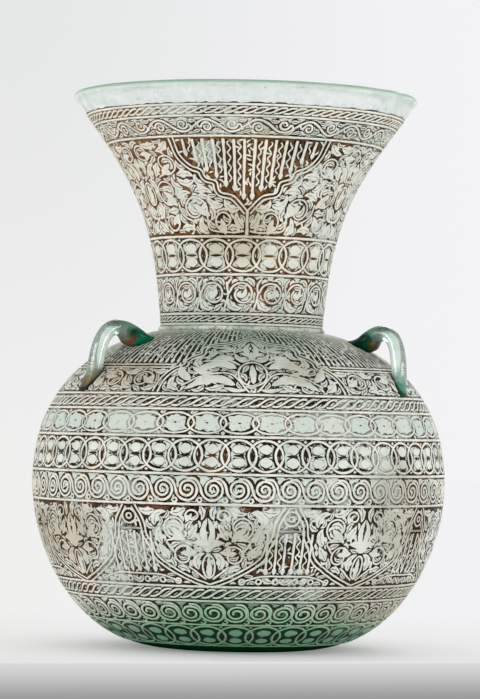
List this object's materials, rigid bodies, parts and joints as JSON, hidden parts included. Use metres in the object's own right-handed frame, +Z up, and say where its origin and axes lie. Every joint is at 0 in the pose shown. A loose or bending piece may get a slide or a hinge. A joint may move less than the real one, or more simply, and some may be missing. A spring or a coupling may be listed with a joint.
{
  "type": "mosque lamp",
  "caption": "Enamelled glass mosque lamp: round globe, flared neck, shoulder handles for hanging chains, bands of raised ornament, and a lift-out oil cup with wick bridge.",
  "frame": {"origin": "centre of the standing ring, on the floor", "axes": "+Z up along the lamp's axis, the side in the picture faces -Y"},
  "size_m": [0.2473, 0.2474, 0.33],
  "materials": {
    "lamp_glass": "pale green blown glass",
    "handle_glass": "clear green glass",
    "enamel_ground": "worn brown enamel and old gilding",
    "enamel_white": "raised pale enamel, satin",
    "cup_glass": "clear glass",
    "bronze": "dull bronze",
    "cotton": "twisted cotton"
  },
  "bodies": {
    "lamp": {"globe": "lamp_glass", "neck": "lamp_glass", "neck_thread": "lamp_glass", "handle_left": "handle_glass", "handle_right": "handle_glass", "handle_back": "handle_glass", "neck_rope_upper": "enamel_ground", "neck_scroll_band": "enamel_ground", "neck_medallion_band": "enamel_ground", "neck_ring_chain": "enamel_ground", "neck_vine_band": "enamel_ground", "neck_rope_lower": "enamel_ground", "neck_raised_lines": "enamel_white", "shoulder_medallion_band": "enamel_ground", "globe_rope_upper": "enamel_ground", "globe_oval_band": "enamel_ground", "globe_ring_chain_upper": "enamel_ground", "globe_spiral_upper": "enamel_ground", "globe_medallion_band": "enamel_ground", "globe_rope_lower": "enamel_ground", "globe_spiral_lower": "enamel_ground", "globe_ring_chain_lower": "enamel_ground", "globe_raised_lines": "enamel_white"},
    "oil_cup": {"oil_cup": "cup_glass"},
    "wick_bridge": {"wick_bridge": "bronze", "wick_tube": "bronze"},
    "wick": {"wick": "cotton"}
  },
  "joints": [
    {"name": "cup_lift", "type": "slide", "parent": "lamp", "child": "oil_cup", "axis": [0, 0, 1], "range_m": [0, 0.19]},
    {"name": "bridge_lift", "type": "slide", "parent": "oil_cup", "child": "wick_bridge", "axis": [0, 0, 1], "range_m": [0, 0.085]},
    {"name": "wick_feed", "type": "slide", "parent": "wick_bridge", "child": "wick", "axis": [0, 0, 1], "range_m": [0, 0.012]}
  ]
}
